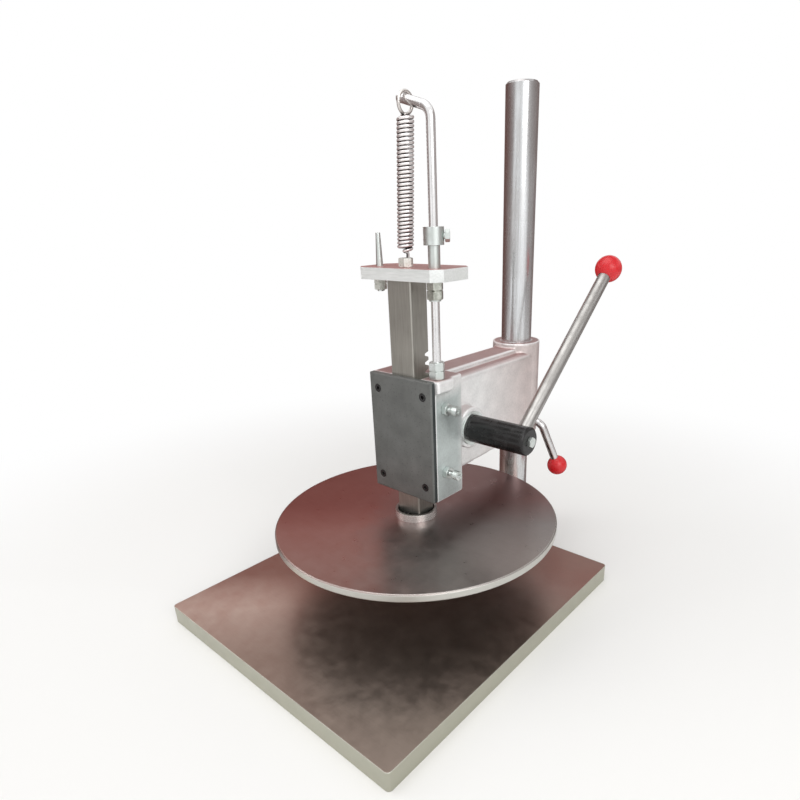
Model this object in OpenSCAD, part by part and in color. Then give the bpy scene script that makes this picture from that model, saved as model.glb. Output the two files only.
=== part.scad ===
// Bench press for pizza dough: a lever, pinion and rack drive a round steel disc
// down onto a steel plate, and a spring lifts it again.
// Origin: middle of the plate's rectangle, on its underside. +X is the lever side,
// +Y runs back to the column and +Z is up. All lengths are millimetres.

/* [Base plate] */
// Width of the plate, left to right
base_w = 234; // [200:1:280]
// Depth of the plate, front edge to rear edge
base_d = 258; // [230:1:280]
// Thickness of the plate
base_t = 14; // [12:0.5:20]
// Corner radius of the plate
base_corner_r = 3; // [2:0.5:20]
// Width of the rear tongue that carries the column
tongue_w = 56; // [48:1:80]
// Fillet between the plate and its tongue
tongue_fillet_r = 10; // [4:0.5:14]

/* [Column] */
// Diameter of the column
column_d = 26; // [22:0.5:30]
// Height of the column above the plate
column_h = 367; // [340:1:420]
// Throat, from the press axis back to the column's axis
throat = 138; // [132:1:160]
// Distance of the press axis behind the middle of the plate
press_y = 25; // [15:1:35]
// Chamfer at the top of the column
column_chamfer = 1.5; // [0.5:0.5:4]
// Diameter of the screw under the column
column_screw_d = 10; // [8:0.5:12]
// Depth of that screw in the column
column_screw_grip = 26; // [15:1:40]

/* [Press disc] */
// Diameter of the disc
disc_d = 220; // [180:1:226]
// Thickness of the disc
disc_t = 6; // [5:0.5:10]
// Open height between the plate and the disc
dough_gap = 48; // [44:1:80]
// Chamfer round the disc's rim
disc_chamfer = 0.8; // [0.2:0.1:2]
// Diameter of the screw that holds the disc on the ram
disc_screw_d = 8; // [6:0.5:9]
// Depth of that screw in the ram
disc_screw_grip = 16; // [10:1:24]
// Height of the flange cup on the disc
cup_h = 6; // [4.5:0.5:10]
// Floor of the flange cup, under the ram
cup_floor = 2; // [1.5:0.5:3]
// Wall of the flange cup
cup_wall = 2; // [1.5:0.1:5]

/* [Ram] */
// Width of the ram
ram_w = 22; // [20:0.5:24]
// Depth of the ram, front face to rack
ram_d = 17; // [16:0.5:19]
// Length of the ram
ram_l = 178; // [170:1:190]
// Chamfer on the ram's long edges
ram_chamfer = 0.75; // [0.5:0.25:3]
// Width of the plate on top of the ram
top_plate_w = 77; // [72:1:90]
// Depth of that plate
top_plate_d = 38; // [34:1:46]
// Thickness of that plate
top_plate_t = 8; // [5:0.5:10]
// Corner cut of that plate
top_plate_cut = 6.5; // [1:0.5:8]

/* [Rack and pinion] */
// Module of the teeth
gear_module = 2; // [1.75:0.25:2.25]
// Number of pinion teeth
gear_teeth = 28; // [24:2:30]
// Width of the pinion
gear_w = 14; // [10:0.5:18]
// Diameter of the pinion shaft
shaft_d = 16; // [12:0.5:20]
// Height of the pinion axis above the head's underside
pinion_rise = 46.7; // [44:0.1:50]

/* [Head] */
// Width of the head block
head_w = 61; // [58:0.5:72]
// Depth of the head block behind its cover
head_d = 31; // [28:0.5:40]
// Height of the head block
head_h = 92; // [88:1:98]
// Clear height between the disc and the head block
head_gap = 22; // [18:1:30]
// Width of the arm between block and column
arm_w = 40; // [34:1:44]
// Width of the rib along the top of the arm
rib_w = 22; // [14:1:30]
// Wall of the boss round the column
boss_wall = 7.5; // [6:0.5:12]
// Height of the boss round the column
boss_h = 83; // [70:1:90]
// Diameter of the bosses round the pinion shaft
pinion_boss_d = 32; // [30:0.5:42]
// Length over both pinion bosses
pinion_boss_l = 60; // [56:0.5:70]
// Thickness of the front cover
cover_t = 4; // [3:0.5:8]
// Chamfer round the front of that cover
cover_chamfer = 1; // [0.3:0.1:1.5]
// Thickness of the gib strip beside the ram
gib_t = 5; // [3:0.5:6]

/* [Spring post] */
// Diameter of the post
post_d = 5.8; // [5:0.1:7]
// Distance of the post and the stop stud from the press axis
post_x = 25.5; // [24.5:0.5:26.5]
// Height of the post's corner above the head
post_h = 165.9; // [150:0.1:180]
// Radius of the post's bend
post_bend_r = 9; // [7:0.5:12]
// Angle by which the post bends from upright
post_bend_a = 72; // [62:1:78]
// Outer diameter of the stop collar
collar_d = 13.5; // [12:0.5:18]
// Height of the stop collar
collar_h = 11; // [8:0.5:16]
// Outer diameter of the guide bush
bush_d = 8; // [7.8:0.1:10]

/* [Return spring] */
// Diameter of the wire
wire_d = 1.8; // [1:0.1:1.8]
// Outer diameter of the coil
spring_d = 11.2; // [10.2:0.1:13]
// Greatest rise of the wire in one turn
spring_pitch = 2.3; // [2.3:0.05:4]
// Mean radius of the loop that hangs on the post
loop_r = 6.2; // [5.2:0.1:7]
// Distance of that loop from the press axis, towards the post
loop_x = 5.3; // [0:0.1:7]

/* [Lever] */
// Diameter of the hub
hub_d = 21; // [21:0.5:28]
// Length of the hub
hub_l = 49.3; // [46:0.1:60]
// Distance of the lever from the press axis
lever_x = 72; // [70:0.5:73]
// Diameter of the lever rod
rod_d = 10; // [7:0.5:12]
// Length of the lever from the pinion axis to the middle of its ball
lever_l = 165; // [120:1:220]
// Lean of the lever behind upright, ram up
lever_lean = 49; // [30:1:60]
// Diameter of the lever's ball
knob_d = 21; // [18:0.5:35]

/* [Clamp] */
// Diameter of the clamp lever
clamp_d = 7; // [5:0.5:9]
// Height of the clamp screw above the head's underside
clamp_rise = 22; // [20:0.5:40]
// Distance of the clamp lever's corner from the column's axis
clamp_out = 29; // [28.5:0.5:36]
// Radius of the clamp lever's bend
clamp_bend_r = 8; // [6:0.5:9]
// Length of the clamp lever from its corner to the middle of its ball
clamp_l = 46.3; // [34:0.1:55]
// Lean of the clamp lever away from the column
clamp_lean = 14; // [5:1:25]
// Turn of the clamp lever behind straight down
clamp_turn = 17; // [-20:1:40]
// Diameter of the clamp lever's ball
clamp_knob_d = 18; // [14:0.5:22]

/* [Fits] */
// Running clearance round shafts, each side
run_fit = 0.05; // [0.02:0.01:0.1]
// Sliding clearance on the ram's faces, each side
ram_fit = 0.08; // [0.04:0.01:0.15]
// Clearance round screws in tapped holes, each side
thread_fit = 0.05; // [0.02:0.01:0.1]
// Clearance round screws in plain holes, each side
plain_fit = 0.25; // [0.1:0.05:0.4]
// Gap between faces that turn past each other
face_gap = 0.1; // [0.05:0.05:0.2]
// Gap between a screw's tip and the round bar that it can press on
tip_gap = 0.3; // [0.2:0.05:0.6]

/* [Hidden] */
$fn = 64;

// Overrun of every cut past the face that it opens
over = 1;
// Extra depth of a blind hole past the screw in it
tap_room = 1;
// Chamfer of hexagon heads and nuts
hex_chamfer_a = 30;
hex_face_share = 0.96;
// Swelling of a bar where its bend begins or ends
bend_bead = 0.05;

// Stand
column_y = press_y + throat;
column_screw_head_d = 19;
column_screw_recess = 0.5;
column_socket_af = 6;
column_socket_h = 3.5;

// Disc, its screw and the flange cup
disc_z0 = base_t + dough_gap;
disc_z1 = disc_z0 + disc_t;
disc_screw_head_d = 15;
disc_screw_recess = 0.4;
disc_socket_af = 5;
disc_socket_h = 2.5;
cup_head_d = 5;
cup_head_h = 3;
cup_head_gap = 0.44;
cup_screw_d = 3;
cup_screw_grip = 4;
cup_socket_af = 2.5;
cup_socket_h = 1.6;
ram_corner_gap = 0.6;
ram_corner_r = max(norm([ram_w / 2, ram_d / 2 - ram_chamfer]), norm([ram_w / 2 - ram_chamfer, ram_d / 2]));
cup_inner_r = max(ram_d / 2 + cup_head_d + 2 * cup_head_gap, ram_corner_r + ram_corner_gap);
cup_screw_r = (ram_d / 2 + cup_inner_r) / 2;

// Ram and what it carries on top
ram_z0 = disc_z1 + cup_floor;
ram_z1 = ram_z0 + ram_l;
ram_y0 = press_y - ram_d / 2;
ram_y1 = press_y + ram_d / 2;
top_plate_back = 6.5;
plate_z1 = ram_z1 + top_plate_t;
anchor_d = 6;
anchor_af = 9;
anchor_head_h = 6;
anchor_grip = 16;
anchor_z1 = plate_z1 + anchor_head_h;
stud_d = 5;
stud_tip_d = 3.2;
stud_h = 22;
stud_tail = 1;
stop_nut_af = 8;
stop_nut_h = 4;
bush_rise = 14;
bush_tail = 1;
bush_nut_af = 10;
bush_nut_h = 6;
nut_gap = 0.02;
slide_fit = 0.06;
bush_z0 = ram_z1 - 2 * bush_nut_h - bush_tail;
bush_z1 = plate_z1 + bush_rise;

// Teeth
pressure_a = 20;
dedendum_share = 1.25;
tooth_backlash = 0.3;
flank_steps = 3;
rack_low = 3;
rack_high = 9;
pitch_r = gear_module * gear_teeth / 2;
gear_tip_r = pitch_r + gear_module;
gear_root_r = pitch_r - dedendum_share * gear_module;
gear_base_r = pitch_r * cos(pressure_a);
tooth_pitch = PI * gear_module;
pitch_y = ram_y1 - gear_module;

// Head
head_z0 = disc_z1 + head_gap;
head_z1 = head_z0 + head_h;
head_y0 = ram_y0 - ram_fit;
pinion_y = pitch_y + pitch_r;
pinion_z = head_z0 + pinion_rise;
head_corner_r = 2.5;
cavity_gap = 2;
cavity_side = 0.5;
cavity_r = gear_tip_r + cavity_gap;
arm_floor = 4.7;
arm_roof = 7.3;
arm_climb = 6;
arm_edge_r = 4;
arm_z0 = pinion_z - cavity_r - arm_floor;
arm_z1 = pinion_z + cavity_r + arm_roof;
rib_h = 4;
boss_d = column_d + 2 * boss_wall;
boss_lift = 11;
boss_z0 = head_z0 + boss_lift;
ear_out = 3.5;
ear_d = 17.7;
ear_h = 8.8;
ear_r = 3;
gib_back = 0.12;
gib_end = 2;
slot_x1 = ram_w / 2 + ram_fit + gib_t + gib_back;

// Cover and gib screws
cover_y0 = head_y0 - cover_t;
cover_corner_r = 1.5;
cover_inset_x = 8.5;
cover_inset_z = 11.4;
cover_screw_d = 3.5;
cover_screw_head_d = 6;
cover_screw_l = 10;
cover_socket_af = 2.5;
cover_socket_h = 1.6;
gib_screw_d = 4;
gib_tip_d = 3;
gib_dimple = 1.4;
gib_screw_out = 8.5;
gib_head_d = 7;
gib_head_h = 4.3;
gib_socket_af = 3;
gib_socket_h = 2.2;
gib_nut_af = 8;
gib_nut_h = 4;
gib_shift = 1.5;
gib_y = press_y + gib_shift;
gib_inset = 21.5;
gib_heights = [head_z0 + gib_inset, head_z1 - gib_inset];

// Spring post, its nuts and the stop collar
post_socket = 8;
post_nut_af = 10;
post_nut_h = 6;
post_end = 5;
post_bend_l = post_bend_r * tan(post_bend_a / 2);
post_corner_z = head_z1 + post_h;
post_arm_l = (post_x - loop_x + post_end) / sin(post_bend_a) - post_bend_l;
collar_z0 = bush_z1 + tip_gap;
collar_mid_z = collar_z0 + collar_h / 2;
collar_screw_d = 4;
collar_screw_af = 7;
collar_head_h = 3.3;
collar_neck = 0.5;
collar_turn = 40;

// Pinion shaft and hub
washer_t = 1.5;
washer_d = 26;
end_washer_t = 2;
end_gap = 0.2;
end_bolt_d = 8;
end_bolt_af = 13;
end_bolt_h = 5.3;
end_bolt_grip = 18;
hub_chamfer = 1;
hub_grip = 28.3;
hub_bolt_d = 4;
hub_bolt_af = 7;
hub_bolt_h = 3;
rod_tail = 6.5;
knob_grip = 8;
boss_face_x = pinion_boss_l / 2;
hub_x0 = boss_face_x + washer_t + 2 * face_gap;
hub_x1 = hub_x0 + hub_l;
shaft_x0 = -boss_face_x - end_gap;
shaft_x1 = hub_x0 + hub_grip;

// Clamp
clamp_z = head_z0 + clamp_rise;
clamp_x0 = column_d / 2 + tip_gap;
clamp_bend_a = 90 - clamp_lean;
clamp_bend_l = clamp_bend_r * tan(clamp_bend_a / 2);
clamp_straight = clamp_out - clamp_x0 - clamp_bend_l;
clamp_grip = 6;

// Return spring: a foot on the anchor bolt, a spiral out to the coil, the coil,
// a spiral in to the axis and a loop round the post's arm, all leaning towards the post.
spring_rings = 8;
spring_sides = 6;
spring_seat = 0.1;
foot_bend_r = 1.6;
foot_rise = 2.8;
foot_a = 223.5;
spiral_a = 270;
neck_rise = 2;
loop_a = 280;
loop_slack = 0.3;
spring_r = (spring_d - wire_d) / 2;
post_arm_top = post_corner_z + (post_x - loop_x) / tan(post_bend_a) + post_d / 2 / sin(post_bend_a);
loop_z = post_arm_top + loop_slack + wire_d / 2 - loop_r;
neck_z1 = loop_z - loop_r;
coil_z1 = neck_z1 - neck_rise;
foot_z0 = anchor_z1 + spring_seat;
foot_z1 = foot_z0 + wire_d;
foot_z2 = foot_z1 + foot_bend_r;
coil_z0 = foot_z2 + foot_rise;
coil_a0 = foot_a + spiral_a;
coil_part_share = ceil(coil_a0 / 360) - coil_a0 / 360;
coil_turns = floor((coil_z1 - coil_z0) / spring_pitch - coil_part_share) + coil_part_share;
coil_steps = round(coil_turns * spring_rings);
spiral_steps = 8;
bend_steps = 3;
loop_steps = 10;

function unit(v) = v / norm(v);
function turned(r, a, z) = [r * cos(a), r * sin(a), z];

foot_dir = turned(1, foot_a, 0);
foot_points = [
  -foot_bend_r * foot_dir + [0, 0, foot_z0],
  for (i = [0 : bend_steps - 1])
    let (a = 90 * i / bend_steps)
    -foot_bend_r * cos(a) * foot_dir + [0, 0, foot_z1 + foot_bend_r * sin(a)]
];
spiral_out = [
  for (i = [0 : spiral_steps - 1])
    let (u = i / spiral_steps)
    turned(spring_r * (1 - pow(1 - u, 2)), foot_a + spiral_a * u, foot_z2 + foot_rise * u)
];
coil_points = [
  for (i = [0 : coil_steps - 1])
    let (u = i / coil_steps)
    turned(spring_r, coil_a0 + 360 * coil_turns * u, coil_z0 + (coil_z1 - coil_z0) * u)
];
spiral_in = [
  for (i = [0 : spiral_steps - 1])
    let (u = i / spiral_steps)
    turned(spring_r * (1 - u * u), spiral_a * u, coil_z1 + neck_rise * u)
];
loop_points = [
  for (i = [0 : loop_steps])
    let (a = loop_a * i / loop_steps)
    [0, loop_r * sin(a), loop_z - loop_r * cos(a)]
];
tail_point = loop_points[loop_steps] + wire_d * [0, cos(loop_a), sin(loop_a)];
upright_path = concat(foot_points, spiral_out, coil_points, spiral_in, loop_points, [tail_point]);
lean_share = loop_x / (loop_z - foot_z0);
spring_path = [for (p = upright_path) p + [lean_share * (p[2] - foot_z0), 0, 0]];

spring_gap = min([
  for (i = [0 : len(spring_path) - 6], j = [i + 5 : len(spring_path) - 1])
    norm(spring_path[i] - spring_path[j])
]) - wire_d;
echo(least_gap_of_the_spring_to_itself = spring_gap);

function headings(p) = [
  for (i = [0 : len(p) - 1])
    unit(p[min(i + 1, len(p) - 1)] - p[max(i - 1, 0)])
];
function square_to(n, t) = unit(n - (n * t) * t);
function normals(t) = [
  for (i = 0, n = square_to([t[0][2], t[0][0], t[0][1]] + [t[0][1], 0, 0], t[0]);
       i < len(t);
       i = i + 1, n = square_to(n, t[min(i, len(t) - 1)]))
    n
];

module tube(path, d, sides) {
  t = headings(path);
  n = normals(t);
  count = len(path);
  points = [
    for (i = [0 : count - 1], j = [0 : sides - 1])
      let (a = 360 * j / sides)
      path[i] + d / 2 * (cos(a) * n[i] + sin(a) * cross(t[i], n[i]))
  ];
  walls = [
    for (i = [0 : count - 2], j = [0 : sides - 1])
      let (k = (j + 1) % sides, a = i * sides, b = (i + 1) * sides)
      each [[a + j, b + j, b + k], [a + j, b + k, a + k]]
  ];
  first_end = [for (j = [1 : sides - 2]) [0, j, j + 1]];
  last_end = [for (j = [1 : sides - 2]) let (c = (count - 1) * sides) [c, c + j + 1, c + j]];
  polyhedron(points, concat(walls, first_end, last_end));
}

module along_x() {
  rotate([0, 90, 0]) children();
}

module along_y() {
  rotate([-90, 0, 0]) children();
}

module side_outline(w) {
  translate([-w / 2, 0, 0]) rotate([90, 0, 90]) linear_extrude(w) children();
}

module rounded_plan(w, d, r) {
  square([w - 2 * r, d], center = true);
  square([w, d - 2 * r], center = true);
  for (x = [-1, 1], y = [-1, 1])
    translate([x * (w / 2 - r), y * (d / 2 - r)]) circle(r);
}

module chamfered_plan(w, d, c) {
  polygon([
    [w / 2 - c, -d / 2], [w / 2, -d / 2 + c], [w / 2, d / 2 - c], [w / 2 - c, d / 2],
    [-w / 2 + c, d / 2], [-w / 2, d / 2 - c], [-w / 2, -d / 2 + c], [-w / 2 + c, -d / 2]
  ]);
}

module hex_bar(af, h) {
  cylinder(d = af / cos(30), h = h, $fn = 6);
}

module hex_head(af, h) {
  face_r = hex_face_share * af / 2;
  reach = af / 2 / cos(30) + over - face_r;
  rise = reach * tan(hex_chamfer_a);
  end_r = face_r - over / tan(hex_chamfer_a);
  intersection() {
    hex_bar(af, h);
    rotate_extrude() polygon([
      [0, -over], [end_r, -over], [face_r + reach, rise], [face_r + reach, h - rise],
      [end_r, h + over], [0, h + over]
    ]);
  }
}

module hex_nut(af, h, bore_d) {
  difference() {
    hex_head(af, h);
    translate([0, 0, -over]) cylinder(d = bore_d, h = h + 2 * over);
  }
}

module ring(outer_d, inner_d, h) {
  difference() {
    cylinder(d = outer_d, h = h);
    translate([0, 0, -over]) cylinder(d = inner_d, h = h + 2 * over);
  }
}

module edge_cut(c, l) {
  rotate([0, 0, 45]) cube([c * sqrt(2), c * sqrt(2), l], center = true);
}

module flush_screw(d, head_d, l, socket_af, socket_h) {
  cone_h = (head_d - d) / 2;
  difference() {
    rotate_extrude() polygon([[0, 0], [head_d / 2, 0], [d / 2, cone_h], [d / 2, l], [0, l]]);
    translate([0, 0, -over]) hex_bar(socket_af, socket_h + over);
  }
}

module flush_hole(d, head_d, l, fit, recess) {
  cone_h = (head_d - d) / 2;
  rotate_extrude() polygon([
    [0, -recess - over], [head_d / 2 + fit, -recess - over], [head_d / 2 + fit, 0],
    [d / 2 + fit, cone_h], [d / 2 + fit, l], [0, l]
  ]);
}

module cap_screw(d, head_d, head_h, l, socket_af, socket_h) {
  difference() {
    union() {
      cylinder(d = head_d, h = head_h);
      translate([0, 0, -l]) cylinder(d = d, h = l + head_h / 2);
    }
    translate([0, 0, head_h - socket_h]) hex_bar(socket_af, socket_h + over);
  }
}

module at_cover_screws() {
  for (x = [-1, 1], z = [head_z0 + cover_inset_z, head_z1 - cover_inset_z])
    translate([x * (head_w / 2 - cover_inset_x), cover_y0, z]) along_y() children();
}

module at_gib_screws() {
  for (z = gib_heights)
    translate([0, gib_y, z]) along_x() children();
}

module at_cup_screws() {
  for (y = [-1, 1])
    translate([0, press_y + y * cup_screw_r, ram_z0]) children();
}

module at_post() {
  translate([post_x, press_y, 0]) children();
}

module at_collar_screw() {
  at_post() translate([0, 0, collar_mid_z]) rotate([0, 0, collar_turn]) along_x() children();
}

module at_pinion(x) {
  translate([x, pinion_y, pinion_z]) along_x() children();
}

module at_lever() {
  translate([lever_x, pinion_y, pinion_z]) rotate([-lever_lean, 0, 0]) children();
}

module at_clamp() {
  translate([0, column_y, clamp_z]) rotate([clamp_turn, 0, 0]) children();
}

module base_plate() {
  color("slategray")
    difference() {
      linear_extrude(base_t) {
        rounded_plan(base_w, base_d, base_corner_r);
        translate([-tongue_w / 2, 0]) square([tongue_w, column_y]);
        translate([0, column_y]) circle(d = tongue_w);
        for (side = [0, 1])
          mirror([side, 0]) translate([tongue_w / 2, base_d / 2]) difference() {
            translate([-over, -over]) square(tongue_fillet_r + over);
            translate([tongue_fillet_r, tongue_fillet_r]) circle(tongue_fillet_r);
          }
      }
      translate([0, column_y, column_screw_recess])
        flush_hole(column_screw_d, column_screw_head_d, base_t + over, plain_fit, column_screw_recess);
    }
}

module column() {
  color("gainsboro")
    translate([0, column_y, base_t]) difference() {
      rotate_extrude() polygon([
        [0, 0], [column_d / 2, 0], [column_d / 2, column_h - column_chamfer],
        [column_d / 2 - column_chamfer, column_h], [0, column_h]
      ]);
      translate([0, 0, -over])
        cylinder(d = column_screw_d + 2 * thread_fit, h = column_screw_grip + tap_room + over);
    }
}

module column_screw() {
  color("darkgray")
    translate([0, column_y, column_screw_recess])
      flush_screw(column_screw_d, column_screw_head_d, base_t - column_screw_recess + column_screw_grip,
                  column_socket_af, column_socket_h);
}

module press_disc() {
  color("silver")
    translate([0, press_y, disc_z0]) difference() {
      rotate_extrude() polygon([
        [0, 0], [disc_d / 2 - disc_chamfer, 0], [disc_d / 2, disc_chamfer],
        [disc_d / 2, disc_t - disc_chamfer], [disc_d / 2 - disc_chamfer, disc_t], [0, disc_t]
      ]);
      translate([0, 0, disc_screw_recess])
        flush_hole(disc_screw_d, disc_screw_head_d, disc_t + over, plain_fit, disc_screw_recess);
      for (y = [-1, 1])
        translate([0, y * cup_screw_r, disc_t - cup_screw_grip - tap_room])
          cylinder(d = cup_screw_d + 2 * thread_fit, h = cup_screw_grip + tap_room + over);
    }
}

module disc_screw() {
  color("darkgray")
    translate([0, press_y, disc_z0 + disc_screw_recess])
      flush_screw(disc_screw_d, disc_screw_head_d, disc_t - disc_screw_recess + cup_floor + disc_screw_grip,
                  disc_socket_af, disc_socket_h);
}

module flange_cup() {
  color("silver")
    difference() {
      translate([0, press_y, disc_z1]) rotate_extrude() polygon([
        [disc_screw_d / 2 + plain_fit, 0], [cup_inner_r + cup_wall, 0], [cup_inner_r + cup_wall, cup_h],
        [cup_inner_r, cup_h], [cup_inner_r, cup_floor], [disc_screw_d / 2 + plain_fit, cup_floor]
      ]);
      at_cup_screws() translate([0, 0, -cup_floor - over])
        cylinder(d = cup_screw_d + 2 * plain_fit, h = cup_floor + 2 * over);
    }
}

module cup_screws() {
  color("dimgray")
    at_cup_screws()
      cap_screw(cup_screw_d, cup_head_d, cup_head_h, cup_floor + cup_screw_grip, cup_socket_af, cup_socket_h);
}

module rack_gap() {
  outer = gear_module + over;
  root = dedendum_share * gear_module;
  outer_half = tooth_pitch / 4 + outer * tan(pressure_a);
  root_half = tooth_pitch / 4 - root * tan(pressure_a);
  polygon([
    [pitch_y + outer, -outer_half], [pitch_y + outer, outer_half],
    [pitch_y - root, root_half], [pitch_y - root, -root_half]
  ]);
}

module ram() {
  color("lightslategray")
    difference() {
      translate([0, press_y, ram_z0]) linear_extrude(ram_l) chamfered_plan(ram_w, ram_d, ram_chamfer);
      for (k = [-rack_low : rack_high])
        translate([0, 0, pinion_z + (k + 1 / 2) * tooth_pitch]) side_outline(ram_w + 2 * over) rack_gap();
      translate([0, press_y, ram_z0 - over])
        cylinder(d = disc_screw_d + 2 * thread_fit, h = disc_screw_grip + tap_room + over);
      translate([0, press_y, ram_z1 - anchor_grip - tap_room])
        cylinder(d = anchor_d + 2 * thread_fit, h = anchor_grip + tap_room + over);
    }
}

module top_plate() {
  color("lightgray")
    difference() {
      translate([0, press_y + top_plate_back, ram_z1]) linear_extrude(top_plate_t)
        chamfered_plan(top_plate_w, top_plate_d, top_plate_cut);
      translate([0, press_y, ram_z1 - over])
        cylinder(d = anchor_d + 2 * plain_fit, h = top_plate_t + 2 * over);
      translate([-post_x, press_y, ram_z1 - over])
        cylinder(d = stud_d + 2 * thread_fit, h = top_plate_t + 2 * over);
      translate([post_x, press_y, ram_z1 - over])
        cylinder(d = bush_d + 2 * thread_fit, h = top_plate_t + 2 * over);
    }
}

module anchor_bolt() {
  color("lightgray")
    translate([0, press_y, plate_z1]) {
      hex_head(anchor_af, anchor_head_h);
      translate([0, 0, -top_plate_t - anchor_grip])
        cylinder(d = anchor_d, h = top_plate_t + anchor_grip + anchor_head_h / 2);
    }
}

module stop_stud() {
  stud_z0 = ram_z1 - 2 * stop_nut_h - stud_tail;
  color("lightgray")
    translate([-post_x, press_y, stud_z0]) rotate_extrude() polygon([
      [0, 0], [stud_d / 2, 0], [stud_d / 2, plate_z1 - stud_z0],
      [stud_tip_d / 2, plate_z1 + stud_h - stud_z0], [0, plate_z1 + stud_h - stud_z0]
    ]);
}

module stop_nuts() {
  color("lightgray")
    for (i = [1, 2])
      translate([-post_x, press_y, ram_z1 - i * stop_nut_h])
        hex_nut(stop_nut_af, stop_nut_h - nut_gap, stud_d + 2 * thread_fit);
}

module guide_bush() {
  color("lightgray")
    at_post() translate([0, 0, bush_z0]) ring(bush_d, post_d + 2 * slide_fit, bush_z1 - bush_z0);
}

module bush_nuts() {
  color("lightgray")
    for (i = [1, 2])
      at_post() translate([0, 0, ram_z1 - i * bush_nut_h])
        hex_nut(bush_nut_af, bush_nut_h - nut_gap, bush_d + 2 * thread_fit);
}

module head_body() {
  translate([0, head_y0 + head_d / 2, head_z0]) linear_extrude(head_h) {
    rounded_plan(head_w, head_d, head_corner_r);
    translate([-head_w / 2, -head_d / 2]) square([head_w, head_d / 2]);
  }
  intersection() {
    side_outline(arm_w + 2 * over) polygon([
      [press_y, arm_z0], [column_y + over, arm_z0 + arm_climb], [column_y + over, arm_z1 + over],
      [press_y, arm_z1 + over]
    ]);
    translate([0, press_y, (arm_z0 + arm_z1) / 2]) along_y() linear_extrude(throat)
      rounded_plan(arm_w, arm_z1 - arm_z0, arm_edge_r);
  }
  translate([-rib_w / 2, press_y, pinion_z]) cube([rib_w, throat, arm_z1 + rib_h - pinion_z]);
  translate([0, column_y, boss_z0]) cylinder(d = boss_d, h = boss_h);
  at_pinion(-boss_face_x) cylinder(d = pinion_boss_d, h = pinion_boss_l);
  translate([(post_x + head_w / 2 + ear_out) / 2, head_y0, head_z1 - ear_h])
    side_outline(head_w / 2 + ear_out - post_x) difference() {
      square([ear_d, ear_h]);
      translate([ear_d - ear_r, 0]) difference() {
        translate([0, -over]) square(ear_r + over);
        translate([0, ear_r]) circle(ear_r);
      }
    }
}

module head_casting() {
  color("silver")
    difference() {
      head_body();
      translate([-ram_w / 2 - ram_fit, head_y0 - over, head_z0 - over])
        cube([ram_w / 2 + ram_fit + slot_x1, ram_d + 2 * ram_fit + over, head_h + 2 * over]);
      at_pinion(-gear_w / 2 - cavity_side) cylinder(r = cavity_r, h = gear_w + 2 * cavity_side);
      at_pinion(-boss_face_x - over) cylinder(d = shaft_d + 2 * run_fit, h = pinion_boss_l + 2 * over);
      translate([0, column_y, boss_z0 - over]) cylinder(d = column_d + 2 * run_fit, h = boss_h + 2 * over);
      at_post() translate([0, 0, head_z1 - post_socket - tap_room])
        cylinder(d = post_d + 2 * thread_fit, h = post_socket + tap_room + over);
      at_cover_screws() cylinder(d = cover_screw_d + 2 * thread_fit, h = cover_screw_l + tap_room);
      at_gib_screws() cylinder(d = gib_screw_d + 2 * thread_fit, h = head_w / 2 + over);
      at_clamp() along_x() cylinder(d = clamp_d + 2 * run_fit, h = boss_d / 2 + over);
    }
}

module front_cover() {
  color("gray")
    difference() {
      translate([0, cover_y0, (head_z0 + head_z1) / 2]) along_y() linear_extrude(cover_t)
        rounded_plan(head_w, head_h, cover_corner_r);
      at_cover_screws() flush_hole(cover_screw_d, cover_screw_head_d, cover_t + over, plain_fit, 0);
      translate([0, cover_y0, (head_z0 + head_z1) / 2]) {
        for (x = [-1, 1]) translate([x * head_w / 2, 0, 0]) edge_cut(cover_chamfer, head_h + 2 * over);
        for (z = [-1, 1])
          translate([0, 0, z * head_h / 2]) along_x() edge_cut(cover_chamfer, head_w + 2 * over);
      }
    }
}

module cover_screws() {
  color("black")
    at_cover_screws()
      flush_screw(cover_screw_d, cover_screw_head_d, cover_screw_l, cover_socket_af, cover_socket_h);
}

module gib_strip() {
  gib_x1 = ram_w / 2 + ram_fit + gib_t;
  color("dimgray")
    difference() {
      translate([ram_w / 2 + ram_fit, ram_y0, head_z0 + gib_end]) cube([gib_t, ram_d, head_h - 2 * gib_end]);
      at_gib_screws() translate([0, 0, gib_x1 - gib_dimple])
        cylinder(d = gib_tip_d + 2 * thread_fit, h = gib_dimple + over);
    }
}

module gib_screws() {
  end_x = head_w / 2 + gib_nut_h + gib_screw_out;
  tip_x = ram_w / 2 + ram_fit + gib_t - gib_dimple;
  color("lightgray")
    at_gib_screws() {
      translate([0, 0, end_x - gib_head_h])
        cap_screw(gib_screw_d, gib_head_d, gib_head_h, end_x - gib_head_h - slot_x1,
                  gib_socket_af, gib_socket_h);
      translate([0, 0, tip_x]) cylinder(d = gib_tip_d, h = slot_x1 - tip_x + gib_screw_d / 2);
    }
}

module gib_nuts() {
  color("lightgray")
    at_gib_screws() translate([0, 0, head_w / 2])
      hex_nut(gib_nut_af, gib_nut_h, gib_screw_d + 2 * thread_fit);
}

module spring_post() {
  straight_l = post_socket + post_h - post_bend_l;
  color("whitesmoke")
    at_post() translate([0, 0, head_z1 - post_socket]) {
      cylinder(d = post_d, h = straight_l);
      translate([-post_bend_r, 0, straight_l]) rotate([90, 0, 0]) {
        rotate_extrude(angle = post_bend_a) translate([post_bend_r, 0]) circle(d = post_d);
        rotate([0, 0, post_bend_a]) translate([post_bend_r, 0, 0]) {
          sphere(d = post_d + 2 * bend_bead);
          rotate([-90, 0, 0]) translate([0, 0, bend_bead]) cylinder(d = post_d, h = post_arm_l - bend_bead);
        }
      }
    }
}

module post_nuts() {
  color("lightgray")
    for (i = [0, 1])
      at_post() translate([0, 0, head_z1 + i * post_nut_h])
        hex_nut(post_nut_af, post_nut_h - nut_gap, post_d + 2 * thread_fit);
}

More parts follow.
